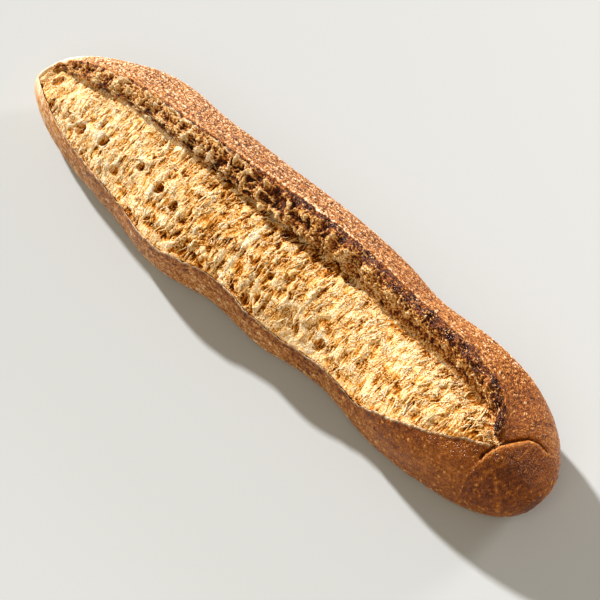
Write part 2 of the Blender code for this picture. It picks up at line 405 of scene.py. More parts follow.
crust_x = np.broadcast_to(crust_places[:, None], crust_points.shape[:2])
crust_y, crust_z = crust_points[..., 1] / MM, crust_points[..., 2] / MM
crust_round = way_round(crust_points)
from_lip = np.full(crust_x.shape, 99.0)
from_lip[:, is_side] = crust_round[:, first[2] - 1][:, None] - crust_round[:, is_side]
from_crest = np.full(crust_x.shape, 99.0)
from_crest[:, is_back] = crust_round[:, is_back] - crust_round[:, first[4]][:, None]
from_seam, seam_side = way_from_line(crust_x, crust_y, HEEL_SEAM)
from_pinch = np.minimum(*(way_from_line(crust_x, crust_y, line)[0] for line in HEEL_PINCHES))
on_heel = ease(150, 165, crust_x) * ease(16, 24, crust_z)
near_heel = ease(60, 130, crust_x)
opened = loaf.seen


def crust_hills(length, width, seed):
    """Hills of this length and width (mm) on the crust."""
    return hills(crust_x / length, crust_round / width, seed)


def crust_waves(length, seed):
    """Waves of this length (mm) along the crust, the same all round it."""
    return hills(crust_x / length, crust_x * 0, seed)


# Its relief (mm): the solid's waves, the back's fine wrinkles, the heel's fold and blisters, the torn rim.
wave = lumps(crust_points, SOLID_WAVE, SOLID_WAVE_SEED)
floury = ease(0.0, 6.0, crust_round - crust_round[:, first[4]][:, None]) * ease(14, 30, crust_z)
floury = floury * ease(186, 145, crust_x)
wrinkle_u = crust_x + 1.2 * crust_hills(6, 6, 41)
wrinkle_v = crust_round + 1.2 * crust_hills(6, 6, 42)
cracked, _ = foam(wrinkle_u / 2.4, wrinkle_v / 1.9, 43)
sandy, _ = foam(wrinkle_u / 1.25, wrinkle_v / 1.15, 44)
grainy = 0.14 * ease(0.0, 0.5, cracked) + 0.26 * ease(0.0, 0.5, sandy)
grainy += 0.34 * crust_hills(1.6, 1.4, 45) + 0.40 * crust_hills(0.9, 0.9, 40)
satin = 0.12 * crust_hills(2.2, 2.2, 46) + 0.20 * crust_hills(9, 7, 47)
crust_relief = wave + blend(satin, grainy, floury)
fold = on_heel * (0.75 + 0.25 * crust_hills(5, 5, 56))
crust_relief -= fold * 2.2 * np.exp(-((from_seam / 0.8) ** 2))
crust_relief += fold * 1.3 * ease(0.0, 1.6, from_seam) * np.exp(-from_seam / 7) * (seam_side > 0)
pinched = np.exp(-((from_pinch / 0.9) ** 2)) * np.clip(0.6 + 0.9 * crust_hills(2.5, 2.5, 78), 0, 1)
crust_relief += fold * 0.5 * pinched
crust_relief -= fold * 0.5 * np.exp(-from_seam / 3) * (seam_side <= 0)
blister_gap, blister_size = foam(crust_x / 2.0, crust_round / 2.0, 48)
blisters_and_glints = ease(0.35, 0.70, blister_gap) * ease(0.45, 0.70, blister_size)
crust_relief += 0.35 * blisters_and_glints * near_heel
rim = np.exp(-((from_lip / 1.3) ** 2)) * opened
jag = 0.5 + 0.6 * crust_waves(3.1, 49) + 0.4 * crust_waves(1.4, 50)
sunk = np.zeros(crust_x.shape)
bed_share = np.concatenate([bed_shares, np.ones(len(bed_ear_shares))])
bed_depth = blend(RIM_BED_DEPTH, CRUMB_BED_DEPTH, ease(0.0, 0.12, bed_shares))
bed_depth = np.concatenate([bed_depth, np.full(len(bed_ear_shares), EAR_BED_DEPTH)])
bed_drop = np.stack([bed_depth * 0, (bed_share == 1) * EAR_BED_SETBACK, -bed_depth], axis=-1) * MM
wrap = ear_wrap(crust_x)
sunk[:, is_back] = (2.2 * ease(wrap + 0.9, wrap - 0.9, from_crest))[:, is_back]
crust_relief[:, is_bed] *= 1 - opened
crust_relief -= sunk * opened
sole = crust_z < 0.3
crust_points += np.where(sole, 0, crust_relief)[..., None] * MM * outward(crust_points, closed=True)
crust_points[:, is_bed] += opened[..., None] * bed_drop[None]
crust_points[..., 2] = np.clip(crust_points[..., 2] + rim * jag * MM, 0, None)

# How much it has baked, with painted light folded in: 0 is pale dough, 1 is burnt.
on_back = ease(-12, 12, crust_y)
bake = blend(value_along(crust_x, FRONT_BROWN), value_along(crust_x, BACK_BROWN), on_back)
bake -= 0.16 * ease(16, 4, crust_z) * ease(-195, -165, crust_x)
bake += 0.10 * ease(30, 48, crust_z) * ease(-8, 8, crust_y)
bake += 0.10 * ease(9, 1.5, from_lip) * ease(-170, -120, crust_x) * opened
bake += 0.08 * ease(1.0, 6.0, from_seam) * (seam_side > 0) * on_heel
bake += 0.07 * crust_hills(24, 18, 51)
bake += blend(0.09, 0.04, ease(140, 165, crust_x)) * crust_hills(6, 5, 52)
specked = blend(1.0, blend(0.45, 0.9, ease(5, 20, crust_y)), ease(60, 140, crust_x))
specked = specked * ease(-196, -170, crust_x)
specked = specked * blend(1.0, blend(1.4, 0.9, ease(20, 80, crust_x)), floury)
bake += 0.14 * crust_hills(1.7, 1.7, 53) * specked
bake += 0.05 * ease(8, -8, crust_y) * ease(-190, -160, crust_x)
bake += blend(0.16, 0.09, ease(140, 165, crust_x)) * crust_hills(3.6, 2.6, 60) * specked
# Painted highlight: the blisters by the heel are paler, standing for glints of light on them.
bake -= 0.33 * blisters_and_glints * near_heel
# Along the heel's seam the crust is darker, with paler pinch streaks and a paler line beside it on the heel's
# side.
bake += (0.30 * np.exp(-((from_seam / 0.7) ** 2)) - 0.24 * pinched) * on_heel
bake -= 0.16 * np.exp(-(((from_seam - 1.6) / 0.7) ** 2)) * on_heel * (seam_side > 0)
# Painted shade: the floury back is darker in its fine hollows and paler on its grains.
bake -= blend(1.05, 0.75, ease(20, 80, crust_x)) * (crust_relief - softened(crust_relief, 2)) * floury
# The cap at the tip is paler: crust that baked less, and painted highlight where the key light falls.
tip_cap_and_highlight = ease(-176, -190, crust_x) * ease(26, 40, crust_z)
bake -= 0.30 * tip_cap_and_highlight
burnt_and_crack_shade = burnt_behind(crust_x, crust_round, from_crest) * opened
# Painted shade: the crack behind the ear's edge is painted dark, as the burnt band is.
crack_shade_behind_ear = np.exp(-(((from_crest - wrap - 0.2) / 0.9) ** 2)) * ease(-10, -50, crust_x)
burnt_and_crack_shade = np.maximum(burnt_and_crack_shade, opened * crack_shade_behind_ear * np.clip(0.6 + 0.8 * crust_waves(5, 30), 0, 1))
# Painted highlights: pale spots on the burnt crust that stand for glints of light.
painted_crust_glints = ease(0.12, 0.45, crust_hills(1.2, 1.2, 34))
bake = blend(bake, 0.97 - 0.65 * painted_crust_glints, burnt_and_crack_shade)
dusty = ease(-0.1, 0.45, crust_hills(1.15, 1.0, 39)) * ease(-0.5, 0.4, crust_hills(3, 3, 55))
bake -= 0.10 * floury * dusty
speckles = floury * blend(1.0, 0.7, ease(-60, 20, crust_x)) * ease(160, 70, crust_x) * (0.02 + 0.36 * dusty)
# The torn edge of the crust at the lip is pale, and painted brighter still as a highlight line.
torn_rim_and_highlight = ease(1.5, 0.3, from_lip) * opened * (0.60 + 0.9 * crust_waves(2.4, 57))
torn_rim_and_highlight = np.clip(torn_rim_and_highlight, 0, 1)
gloss = np.maximum(ease(0.34, 0.62, bake) * (1 - 0.85 * floury), 0.8 * burnt_and_crack_shade)
crust = closed_skin(
    "crust",
    crust_points,
    ((-LENGTH / 2, 0, WIDEST_HEIGHT), (LENGTH / 2, 0, WIDEST_HEIGHT)),
    {"bake": bake, "flour": speckles, "torn": torn_rim_and_highlight, "specks": specked, "gloss": gloss},
)


def linear(hex_colour):
    """A colour in sRGB hex, as the linear RGBA that nodes take."""
    parts = [int(hex_colour[i : i + 2], 16) / 255 for i in (1, 3, 5)]
    return [c / 12.92 if c <= 0.04045 else ((c + 0.055) / 1.055) ** 2.4 for c in parts] + [1.0]


def add_node(tree, kind, settings=None, links=None):
    """A node with its settings (its own, its sockets' or its colour stops) and its incoming links."""
    node = tree.nodes.new(kind)
    for key, value in (settings or {}).items():
        if key == "stops":
            elements = node.color_ramp.elements
            elements.remove(elements[-1])
            for place, colour in value:
                stop = elements[0] if place == value[0][0] else elements.new(place)
                stop.position = place
                stop.color = linear(colour)
        elif isinstance(key, str) and hasattr(node, key):
            setattr(node, key, value)
        else:
            node.inputs[key].default_value = value
    for key, socket in (links or {}).items():
        tree.links.new(socket, node.inputs[key])
    return node


def noise_pattern(tree, cells, strength):
    """A pattern of noise that lies still on the piece, and the same one spread about zero by its strength."""
    place = add_node(tree, "ShaderNodeTexCoord").outputs["Object"]
    pattern = add_node(tree, "ShaderNodeTexNoise", cells, {"Vector": place}).outputs["Fac"]
    settings = {"operation": "MULTIPLY_ADD", 1: strength, 2: -strength / 2}
    return pattern, add_node(tree, "ShaderNodeMath", settings, {0: pattern}).outputs[0]


def new_material(name):
    """A material with only its output node, and its tree."""
    material = bpy.data.materials.new(name)
    material.use_nodes = True
    tree = material.node_tree
    tree.nodes.clear()
    return material, tree


# Baked wheat crust: dough dried and browned by heat. Pale and matt where it baked least, chestnut with a
# satin shine where it baked most, dark chocolate where it burnt. Its colour also carries painted light: shade
# in its hollows and in the crack behind the ear, and highlights on the blisters, the burnt band, the tip's
# cap and the torn rim.
CRUST_BROWNING = (
    (0.00, "#F9EEE2"), (0.18, "#EFCFAC"), (0.34, "#D99D5C"), (0.48, "#BB742A"), (0.60, "#9F5814"),
    (0.72, "#804008"), (0.84, "#562402"), (1.00, "#301000"),
)
# Its patterns, as cells to a millimetre, and how strongly they show. Flour, pores and tiny blisters are
# finer than this, so they are drawn as coarse as they need to be to show.
CRUST_MOTTLE = {"Scale": 0.52 / MM, "Detail": 5.0}
CRUST_FRECKLES = {"Scale": 1.3 / MM, "Detail": 2.0}
MOTTLE_STRENGTH = 0.80
# Painted shade: the freckles are paler where their bump stands up and darker where it dips.
FRECKLE_TONE_AND_SHADE = -1.15
FLOUR_COLOUR = "#EBD3B4"
TORN_RIM_HIGHLIGHT_COLOUR = "#F8E0B6"
wheat_crust, tree = new_material("baked_wheat_crust")
bake_and_light_mark, flour, torn, specks, satin = (
    add_node(tree, "ShaderNodeAttribute", {"attribute_name": mark}).outputs["Fac"]
    for mark in ("bake", "flour", "torn", "specks", "gloss")
)
_, coarse = noise_pattern(tree, CRUST_MOTTLE, MOTTLE_STRENGTH)
freckles, finer = noise_pattern(tree, CRUST_FRECKLES, FRECKLE_TONE_AND_SHADE)
both = add_node(tree, "ShaderNodeMath", {"operation": "ADD"}, {0: coarse, 1: finer}).outputs[0]
speckled = {0: both, 1: specks, 2: bake_and_light_mark}
browning_and_light = add_node(tree, "ShaderNodeMath", {"operation": "MULTIPLY_ADD"}, speckled).outputs[0]
colour = add_node(tree, "ShaderNodeValToRGB", {"stops": CRUST_BROWNING}, {"Fac": browning_and_light}).outputs["Color"]
over = {"data_type": "RGBA", 7: linear(FLOUR_COLOUR)}
dusted = add_node(tree, "ShaderNodeMix", over, {"Factor": flour, 6: colour}).outputs[2]
over = {"data_type": "RGBA", 7: linear(TORN_RIM_HIGHLIGHT_COLOUR)}
edged = add_node(tree, "ShaderNodeMix", over, {"Factor": torn, 6: dusted}).outputs[2]
shine = add_node(tree, "ShaderNodeMapRange", {"To Min": 0.80, "To Max": 0.23}, {"Value": satin}).outputs[0]
pimply = {"Strength": 1.0, "Distance": 1.1 * MM}
pimples = add_node(tree, "ShaderNodeBump", pimply, {"Height": freckles}).outputs["Normal"]
shader = add_node(
    tree, "ShaderNodeBsdfPrincipled",
    {"Specular IOR Level": 0.24},
    {"Base Color": edged, "Roughness": shine, "Normal": pimples},
)
add_node(tree, "ShaderNodeOutputMaterial", links={"Surface": shader.outputs["BSDF"]})
crust.data.materials.append(wheat_crust)
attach(crust, "root")
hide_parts("loaf")

# ======================================================================================================
# Crumb. The soft inside of the loaf, pushed up through the slash while it baked: a torn foam of dough with
# open pores and strands drawn across the cut, browner in its hollows and paler on its peaks as painted shade.
# A closed pillow that is tucked in behind the front lip and under the ear.
# ======================================================================================================
# Its two lengths (mm), the tip's and the heel's, which overlap by about a millimetre.
CRUMB_LENGTHS = ((-198.5, -8.0), (-9.2, 179.0))
CRUMB_ROWS = 640
CRUMB_COLUMNS = 144
CRUMB_LUMP = (2.2, 9, 17)
LIP_MARGIN = 0.15

# Its end columns are tucked under the ear, at these shares of the ear's face and this deep (mm). How thick
# a length is, which columns its underside has, and how deep its end dives under the next length (mm).
TUCKED_SHARES = (0.06, 0.14)
TUCKED_DEPTHS = (0.9, 2.2)
CRUMB_THICKNESS = 6.0
CRUMB_UNDERSIDE = [136, 112, 84, 56, 28, 8]
JOINT_DIVE = 3.0

# Open pores of the crumb and hollows of the ear's torn face (mm): x, y, width, depth.
PORES = (
    (-141, -18, 8, 3.5), (-122, -16, 7, 3.5), (-105, -24, 6, 2.5), (-91, -15, 6, 2.5), (-72, -18, 7, 3.0),
    (-58, -21, 7, 3.0), (11, -31, 7, 2.5), (60, -23, 7, 2.5), (-180, -2, 10, 3.5), (-176, 9, 8, 3.0),
    (-112, 12, 9, 3.5), (-86, 16, 8, 3.0), (-53, 12, 8, 3.0), (-10, 15, 10, 4.0), (47, 14, 12, 2.5),
)


def open_pores(x, y):
    """How deep the named pores are at each place (mm), and how much of each place is inside one."""
    depth, inside = np.zeros(x.shape), np.zeros(x.shape)
    for pore_x, pore_y, width, deep in PORES:
        apart = np.hypot(x - pore_x, (y - pore_y) * 1.2) / (width / 2)
        apart = apart + 0.22 * hills(x / 2.8, y / 2.8, 61)
        depth += deep * np.sqrt(np.maximum(0.0, 1 - np.minimum(1.0, apart) ** 2))
        inside = np.maximum(inside, ease(1.15, 0.9, apart))
    return depth, inside


def torn_foam(x, across, seed):
    """Relief (mm) of torn crumb: pores of three sizes between thin walls, and strands across the loaf."""
    bend = 2.6 * hills(x / 11, across / 15, seed) + 0.9 * hills(x / 3.5, across / 5, seed + 1)
    u, v = x + bend, across + 1.2 * hills(x / 6, across / 6, seed + 2)
    wide_gap, wide_cell = foam(u / 4.4, v / 8.5, seed + 3)
    mid_gap, mid_cell = foam(u / 2.1, v / 4.2, seed + 4)
    fine_gap, fine_cell = foam(u / 1.15, v / 1.9, seed + 5)
    wide = ease(0.0, 0.45, wide_gap) * ease(0.35, 0.9, wide_cell)
    mid = ease(0.0, 0.5, mid_gap) * (0.25 + 0.75 * ease(0.3, 0.9, mid_cell))
    fine = ease(0.0, 0.6, fine_gap) * (0.3 + 0.7 * fine_cell)
    pits = -1.2 * wide - 0.6 * mid - 0.25 * fine
    strand = (1 - np.abs(hills(u / 2.6, v / 16, seed + 6))) ** 4
    thread = hills(u / 0.95, v / 9, seed + 8)
    streaks = 0.5 * strand + 0.25 * thread - 0.8 * ease(0.2, 0.6, wide_gap) * ease(0.75, 0.95, wide_cell)
    stretched = ease(-175, -150, x) * ease(-55, -85, x) + 0.6 * np.exp(-(((x - 5) / 26) ** 2))
    near_ear = ease(4, 24, across) * stretched
    streaky = ease(-0.25, 0.45, hills(x / 22, across / 17, seed + 9) + 0.9 * near_ear - 0.15)
    tatters = 0.5 * hills(u / 5.0, v / 11, seed + 10) + 0.4 * hills(u / 2.4, v / 6.5, seed + 11)
    tatters += 0.35 * hills(u / 1.2, v / 3.4, seed + 12) + 0.15 * hills(x / 0.85, across / 0.95, seed + 7)
    torn = blend(0.8 * pits + 0.2, streaks - 0.2, streaky) + 0.9 * tatters
    return np.minimum(torn, 0) + 0.25 * np.maximum(torn, 0)


def crumb_length(name, start, end, joins_next):
    """One length of the crumb, from start to end (mm). Where it joins the next, its end dives under it."""
    places = np.linspace(start, end, CRUMB_ROWS - 1)
    cut = Sections(places)
    top_shares = np.linspace(0, 1, CRUMB_COLUMNS)
    points = cut.skin([cut.crumb(top_shares), cut.ear(np.array(TUCKED_SHARES))])
    sunk = np.concatenate([1.3 * ease(0.025, 0.0, top_shares), TUCKED_DEPTHS])[None, :]
    share = np.concatenate([top_shares, (1, 1)])[None, :]
    x = np.broadcast_to(places[:, None], points.shape[:2])
    y, across = points[..., 1] / MM, way_round(points)

    def grain(length, width, seed):
        """Hills of this length and width (mm) on the crumb."""
        return hills(x / length, across / width, seed)

    # Its relief: the solid's lumps and pores, then the torn foam and the ledges between two tears.
    margin = ease(0.0, LIP_MARGIN, share)
    relief = lumps(points, SOLID_WAVE, SOLID_WAVE_SEED)
    relief += margin * cut.opened * 0.6 * lumps(points, CRUMB_LUMP, 11.3)
    relief += margin * cut.opened * 0.35 * lumps(points, CRUMB_LUMP, 5.1, scale=2.2)
    pore_depth, in_pore = open_pores(x, y)
    tears = torn_foam(x, across, 70)
    rough = 0.45 + 0.75 * ease(-0.5, 0.5, grain(16, 13, 62))
    ledge = grain(11, 8, 63) + 0.45 * grain(3, 3, 64)
    torn_relief = tears * rough + 0.5 * ease(-0.08, 0.12, ledge) - 0.25
    torn_relief = torn_relief * blend(1.0, 0.6, ease(10, 50, x)) * (1 - 0.6 * in_pore)
    relief += cut.opened * ease(0.0, 0.05, share) * torn_relief
    relief += cut.opened * (0.2 * np.exp(-(((in_pore - 0.5) / 0.25) ** 2)) - 0.85 * pore_depth)
    relief -= sunk * cut.opened + 2.4 * (1 - cut.seen)
    relief -= joins_next * JOINT_DIVE * ease(end - 0.6, end, x)

    # How much it toasted, with painted shade folded in: 0 is pale and moist, 1 is brown.
    smooth = softened(relief, 3)
    # Painted shade: the crumb is browner in its hollows and paler on its peaks.
    toast = 0.325 - 0.62 * (relief - smooth) - 0.46 * (smooth - softened(relief, 14))
    toast = toast + 0.10 * grain(26, 15, 65) + 0.14 * grain(7, 5, 66)
    toast += 0.10 * grain(1.1, 1.6, 67) + 0.30 * grain(1.1, 8.0, 68)
    toast += blend(0.16, 0.05, ease(0, 50, x)) * ease(0.20, 0.03, share)
    # Painted shade: browner down in the groove, in the shade of the ear.
    toast += blend(0.04, 0.32, ease(-60, 20, x)) * ease(0.78, 0.93, share)
    toast += 0.16 * ease(-160, -176, x) + 0.12 * ease(152, 162, x) + 0.16 * ease(160, 167, x)
    toast += 0.15 * np.exp(-(((x + 10) / 50) ** 2)) - 0.10 * np.exp(-(((x - 95) / 40) ** 2))
    toast += 0.14 * ease(50, 80, x) * ease(0.6, 0.4, share) - 0.07 * np.exp(-(((x + 135) / 45) ** 2))
    toast = np.where(toast < 0.28, 0.28 + 0.45 * (toast - 0.28), toast)
    pore_toast = 0.34 + 0.28 * ease(-164, -174, x)
    toast = blend(toast, pore_toast, blend(0.45, 0.7, ease(-160, -170, x)) * in_pore)

    # How strongly its fine cells show: smooth walls between ragged shreds.
    shreds = grain(10, 6, 33) + 0.5 * grain(4, 2.6, 32)
    shreds = 0.50 + 0.65 * ease(-0.35, 0.35, shreds + 0.25 * (toast - 0.33))

    # Dough that still clings to the ear fills the bottom of the groove.
    clinging = 1.8 * ease(0.80, 1.0, share) * ease(-20, -60, x)
    clinging += 1.9 * ease(0.74, 0.98, share) * ease(0, 40, x)
    relief += cut.opened * clinging * (0.7 + 0.5 * grain(8, 8, 35))
    top = points.shape[1]
    points = with_underside(points, outward(points), relief, CRUMB_UNDERSIDE, CRUMB_THICKNESS)
    ends = points[0].mean(axis=0), points[-1].mean(axis=0)
    marks = {"toast": widened(toast, CRUMB_UNDERSIDE), "shreds": widened(shreds, CRUMB_UNDERSIDE)}
    return closed_skin(name, points, ends, marks), points[:, :top]


crumb_tip, tip_surface = crumb_length("crumb_tip", *CRUMB_LENGTHS[0], joins_next=1)
crumb_heel, heel_surface = crumb_length("crumb_heel", *CRUMB_LENGTHS[1], joins_next=0)

# Torn wheat crumb: cream where it is moist, golden and then brown where it toasted, and browner still as
# painted shade in its hollows and in the groove. Dry and matt.
CRUMB_TOASTING = (
    (0.00, "#FFF2DC"), (0.20, "#FBDDB0"), (0.38, "#EDBB70"), (0.54, "#CC842A"), (0.68, "#A0580C"),
    (0.82, "#743600"), (1.00, "#401A00"),
)
# Its smallest cells, as cells to a millimetre, drawn as coarse as they need to be to show.
CRUMB_CELLS = {"Scale": 1.1 / MM, "Detail": 3.0}
# Painted shade: the cells are paler where their bump stands up and browner where it dips.
CRUMB_CELL_TONE_AND_SHADE = -1.7
torn_crumb, tree = new_material("torn_wheat_crumb")
toast_and_shade_mark, shreds = (
    add_node(tree, "ShaderNodeAttribute", {"attribute_name": mark}).outputs["Fac"]
    for mark in ("toast", "shreds")
)
cells, spread = noise_pattern(tree, CRUMB_CELLS, CRUMB_CELL_TONE_AND_SHADE)
speckled = {0: spread, 1: shreds, 2: toast_and_shade_mark}
toasting_and_shade = add_node(tree, "ShaderNodeMath", {"operation": "MULTIPLY_ADD"}, speckled).outputs[0]
colour = add_node(tree, "ShaderNodeValToRGB", {"stops": CRUMB_TOASTING}, {"Fac": toasting_and_shade}).outputs["Color"]
grit = add_node(tree, "ShaderNodeMath", {"operation": "MULTIPLY"}, {0: cells, 1: shreds}).outputs[0]
gritty = {"Strength": 1.0, "Distance": 2.0 * MM}
crumbs = add_node(tree, "ShaderNodeBump", gritty, {"Height": grit}).outputs["Normal"]
shader = add_node(
    tree, "ShaderNodeBsdfPrincipled",
    {"Roughness": 0.9, "Specular IOR Level": 0.1},
    {"Base Color": colour, "Normal": crumbs},
)
add_node(tree, "ShaderNodeOutputMaterial", links={"Surface": shader.outputs["BSDF"]})
for crumb in (crumb_tip, crumb_heel):
    crumb.data.materials.append(torn_crumb)
    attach(crumb, "root")
    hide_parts("loaf")

# ======================================================================================================
# Ear. The lip of crust that lifted and curled over the cut as the loaf sprang in the oven. Its torn face
# is craggy crumb, and its crest stood nearest the heat and burnt dark.
# ======================================================================================================
EAR_ROWS = 900
EAR_CRAG = (3.2, 8, 8)
EAR_CALM_SHARE = 0.4
EAR_THICKNESS = 3.4
EAR_UNDERSIDE = [84, 72, 58, 42, 26, 10]

# Values that change along the loaf: how far before the crest the face is burnt (mm), how toasted the face
# is at its foot, how much more at its crest, and the palest that it gets.
CHARRED_REACH = ((-120, -2.0), (-60, -0.8), (-10, 0.8), (40, 3.0), (150, 4.0), (172, 3.0))
EAR_TOAST = ((-180, 0.33), (-60, 0.38), (-10, 0.44), (40, 0.30), (172, 0.27))
CREST_TOAST = ((-60, 0.08), (-20, 0.22), (10, 0.24), (60, 0.24))
PALEST_TOAST = ((-60, 0.28), (-30, 0.36), (20, 0.36), (50, 0.26))

ear_places = np.linspace(-197.5, 178, EAR_ROWS - 1)
rise = Sections(ear_places)
face_shares = np.linspace(0, 1, 74)
over_shares = np.linspace(0, 1, 17)[1:]
foot_shares = np.array([0.93, 0.97])
over_way = over_shares[None, :] * (ear_wrap(rise.x) + 1.6)
ear_points = rise.skin([
    rise.crumb(foot_shares),
    rise.ear(face_shares),
    rise.behind(rise.crest + over_way * MM / rise.crest_speed()),
])
ear_sunk = np.concatenate([
    [2.4, 1.1], 0.5 * ease(0.06, 0.0, face_shares), 1.7 * ease(0.72, 1.0, over_shares),
])[None, :]
over_x = np.broadcast_to(ear_places[:, None], ear_points.shape[:2])
ear_y = ear_points[..., 1] / MM
ear_round = way_round(ear_points)
foot_column, crest_column = len(foot_shares), len(foot_shares) + len(face_shares) - 1
from_edge = ear_round - ear_round[:, crest_column][:, None]
to_foot = -from_edge[:, foot_column][:, None]
calm = blend(1.0, EAR_CALM_SHARE, ease(-20, 60, over_x))


def ear_hills(length, width, seed):
    """Hills of this length and width (mm) on the ear."""
    return hills(over_x / length, ear_round / width, seed)


def ear_waves(length, seed):
    """Waves of this length (mm) along the ear, the same all round it."""
    return hills(over_x / length, over_x * 0, seed)


# Its relief: the solid's crags and hollows, then torn foam on the face and burnt knobs along the crest.
ear_relief = lumps(ear_points, SOLID_WAVE, SOLID_WAVE_SEED)
crags = lumps(ear_points, EAR_CRAG, 7.9) + 0.4 * lumps(ear_points, EAR_CRAG, 1.9, scale=2.1)
on_face = ease(1.0, -1.0, from_edge)
ear_relief += rise.opened * calm * crags * on_face
pore_depth, in_pore = open_pores(over_x, ear_y)
ear_relief -= rise.opened * pore_depth * on_face
u = over_x + 1.4 * ear_hills(5, 5, 81)
v = ear_round + 1.4 * ear_hills(5, 5, 82)
mid_gap, mid_cell = foam(u / 1.9, v / 2.2, 84)
small_gap, small_cell = foam(u / 1.1, v / 1.2, 85)
chunky = blend(0.32, 1.0, ease(-95, -50, over_x)) * blend(1.0, 0.40, ease(10, 45, over_x))
chunks = 2.0 * hills(u / 6.5, v / 5.0, 86) - 2.6 * ease(0.2, 0.5, hills(u / 4.4, v / 4.4, 98))
pieces = 0.7 * hills(u / 3.1, v / 3.1, 97) + 0.8 * hills(u / 1.6, v / 1.6, 79)
torn_face = chunky * np.maximum(chunks, -2.2) + pieces + 0.8 * ear_hills(0.9, 0.9, 87)
knobs = 1.0 * ease(0.0, 0.55, mid_gap) * (0.3 + mid_cell) + 0.5 * ease(0.0, 0.55, small_gap)
knobs += 0.2 * ear_hills(0.8, 0.8, 88)
charred_reach = value_along(over_x, CHARRED_REACH)
charred_reach = charred_reach + (0.5 + 0.25 * charred_reach) * ear_hills(3, 3, 89)
charred = ease(-charred_reach - 1.6, -charred_reach + 0.6, from_edge)
charred *= np.clip(0.68 + 0.8 * ear_hills(7, 7, 95) + 0.3 * ear_hills(1.5, 1.5, 96), 0, 1)
ear_relief += rise.opened * blend(torn_face * blend(1.0, 0.75, 1 - calm), knobs - 0.6, charred)
crack_wave = 0.6 * ear_waves(6, 99)
crack_with_painted_shade = np.exp(-(((from_edge - ear_wrap(over_x) + 0.4 + crack_wave) / 0.7) ** 2)) * ease(-10, -50, over_x)
ear_relief -= 1.4 * crack_with_painted_shade * rise.opened
chips = ear_waves(4.5, 93) + 0.6 * ear_waves(1.9, 94)
ear_relief += 0.8 * chips * np.exp(-((from_edge / 3) ** 2)) * rise.opened
ear_relief += 1.4 * ear_waves(9, 77) * np.exp(-(((from_edge + 2) / 5) ** 2)) * rise.opened
shares = np.concatenate([[0.0, 0.0], face_shares, np.ones(len(over_shares))])[None, :]
ear_relief -= 1.6 * np.exp(-(((shares - EAR_EDGE_SHARE) / 0.16) ** 2)) * ease(-20, -60, over_x) * rise.opened
raised_foot = np.maximum(ease(10, 50, over_x), 0.7 * ease(-40, -80, over_x))
ear_relief += 2.4 * ease(0.20, 0.04, shares) * raised_foot * rise.opened
ear_relief -= ear_sunk * rise.opened + 2.6 * (1 - rise.seen)
ear_points = with_underside(ear_points, outward(ear_points), ear_relief, EAR_UNDERSIDE, EAR_THICKNESS)

# How much it toasted, with painted shade folded in, and how much it burnt.
height = np.clip((from_edge + to_foot) / np.maximum(1.0, to_foot), 0, 1)
ear_toast_and_shade = value_along(over_x, EAR_TOAST) + value_along(over_x, CREST_TOAST) * height
# Painted shade: the foot of the face in the heel half is browner, in the shade of the ear.
ear_toast_and_shade += 0.16 * ease(0.50, 0.08, height) * ease(10, 50, over_x)
shown = ear_relief + ear_sunk * rise.opened
smooth = softened(shown, 3)
# Painted shade: the torn face is browner in its hollows and paler on its knobs.
ear_toast_and_shade -= 0.50 * (shown - smooth) + 0.22 * (smooth - softened(shown, 12))
ear_toast_and_shade += 0.12 * ear_hills(12, 7, 90) + 0.16 * ear_hills(1.8, 1.8, 91)
ear_toast_and_shade += 0.16 * (small_cell - 0.5)
ear_toast_and_shade = blend(ear_toast_and_shade, ear_toast_and_shade - 0.08, in_pore)
palest = value_along(over_x, PALEST_TOAST)
ear_toast_and_shade = np.where(ear_toast_and_shade < palest, palest + 0.35 * (ear_toast_and_shade - palest), ear_toast_and_shade)
ear_toast_and_shade += 0.16 * ease(-160, -178, over_x)
charred = charred * ease(-176, -162, over_x)
charred = np.where(from_edge > 0, burnt_behind(over_x, ear_round, from_edge), charred)
over_toast = blend(0.40, 0.62, ease(-60, 0, over_x)) + 0.14 * ear_hills(1.6, 1.6, 91)
ear_toast_and_shade = np.where(from_edge > 0, over_toast, ear_toast_and_shade)
# Painted highlights: pale spots on the charred crest that stand for glints of light.
painted_ear_glints = ease(0.08, 0.40, ear_hills(1.2, 1.2, 37)) * ease(-0.4, 0.2, ear_hills(6, 4, 36))
ear_toast_and_shade = blend(ear_toast_and_shade, 0.97 + 0.12 * ear_hills(1.5, 1.5, 92) - 0.82 * painted_ear_glints, charred)
# Painted shade: the crack behind the ear's edge is painted darkest.
ear_toast_and_shade = blend(ear_toast_and_shade, 1.0, crack_with_painted_shade)
# Painted highlight: a broken pale line along the crest in the tip half, standing for glints of light. The
# line is also glazed, with a lower roughness.
crest_glaze_and_highlight = np.exp(-(((from_edge - 0.5) / 1.2) ** 2)) * ease(-178, -160, over_x) * ease(0, -60, over_x)
highlight_breaks = ear_hills(2.6, 1.6, 38) + 0.7 * ear_hills(1.1, 1.1, 29)
ear_toast_and_shade = blend(ear_toast_and_shade, 0.0, crest_glaze_and_highlight * ease(-0.3, 0.2, highlight_breaks))
end_rows = ear_points[0].mean(axis=0), ear_points[-1].mean(axis=0)
glazed = np.maximum(charred, 0.85 * crest_glaze_and_highlight)
ear_marks = {"toast": widened(ear_toast_and_shade, EAR_UNDERSIDE), "char": widened(glazed, EAR_UNDERSIDE)}
ear = closed_skin("ear", ear_points, end_rows, ear_marks)

# Toasted and burnt crumb at the ear's edge: golden to brown on the torn face and browner in its hollows as
# painted shade, and a dark glassy brown where the sugars charred, which catches small glints; more glints
# are painted on it as pale spots.
EAR_TOASTING = (
    (0.00, "#FFEDD4"), (0.20, "#F2C883"), (0.38, "#DB9A42"), (0.54, "#B0621A"), (0.68, "#823A05"),
    (0.82, "#5A2203"), (1.00, "#341000"),
)
